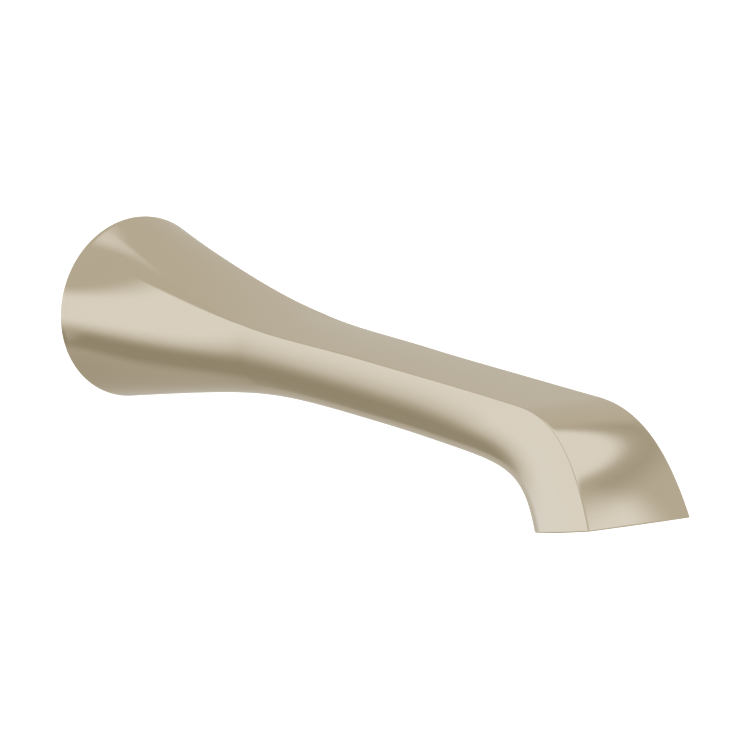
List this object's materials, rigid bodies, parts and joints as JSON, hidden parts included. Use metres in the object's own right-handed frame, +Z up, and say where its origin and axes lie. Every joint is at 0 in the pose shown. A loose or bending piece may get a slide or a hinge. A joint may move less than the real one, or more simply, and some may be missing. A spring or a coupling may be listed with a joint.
{
  "type": "wall mounted bath spout",
  "caption": "Bath spout that flares to a round wall flange, with a creased flat top, a hooked tip and a recessed aerator, sliding over an inlet adapter.",
  "frame": {"origin": "centre of the wall flange, on the wall plane, at the mouth of the inlet thread", "axes": "+Y into the wall along the inlet thread, so the spout projects along -Y; +Z up; X = 0 is the mirror plane"},
  "size_m": [0.05, 0.2449, 0.0519],
  "materials": {
    "nickel_finish": "warm polished nickel plating with a faint brushed grain",
    "bare_brass": "machined",
    "stainless_steel": "satin",
    "black_rubber": "moulded",
    "white_plastic": "moulded acetal",
    "grey_plastic": "moulded acetal"
  },
  "bodies": {
    "wall_mount": {"wall_plate": "stainless_steel", "inlet_adapter": "bare_brass", "inlet_washer": "black_rubber", "adapter_o_ring_rear": "black_rubber", "adapter_o_ring_front": "black_rubber"},
    "spout": {"spout_body": "nickel_finish", "wall_gasket": "black_rubber", "inlet_socket": "bare_brass", "socket_circlip": "stainless_steel", "waterway_tube": "stainless_steel", "tube_o_ring_inlet": "black_rubber", "tube_o_ring_outlet": "black_rubber", "outlet_insert": "white_plastic"},
    "screw_pad": {"set_screw_pad": "white_plastic"},
    "screw": {"set_screw": "stainless_steel"},
    "aerator_seal": {"aerator_washer": "black_rubber"},
    "aerator": {"aerator_housing": "grey_plastic", "aerator_diffuser": "white_plastic", "aerator_screen": "stainless_steel", "flow_straightener": "grey_plastic"}
  },
  "joints": [
    {"name": "spout_slide", "type": "slide", "parent": "wall_mount", "child": "spout", "axis": [0, -1, 0], "range_m": [0, 0.04]},
    {"name": "set_screw_travel", "type": "slide", "parent": "spout", "child": "screw_pad", "axis": [0, 0, -1], "range_m": [0, 0.0024]},
    {"name": "set_screw_turn", "type": "hinge", "parent": "screw_pad", "child": "screw", "pos_m": [0, -0.0046, -0.0215], "axis": [0, 0, -1], "range_deg": [0, 1080]},
    {"name": "aerator_travel", "type": "slide", "parent": "spout", "child": "aerator_seal", "axis": [0, -0.203, -0.9792], "range_m": [0, 0.005]},
    {"name": "aerator_turn", "type": "hinge", "parent": "aerator_seal", "child": "aerator", "pos_m": [0, -0.22295, -0.02235], "axis": [0, -0.203, -0.9792], "range_deg": [0, 1800]}
  ],
  "couplings": [
    {"joint": "set_screw_turn", "follows": "set_screw_travel", "rad_per_m": 7854},
    {"joint": "aerator_turn", "follows": "aerator_travel", "rad_per_m": 6283.2}
  ]
}
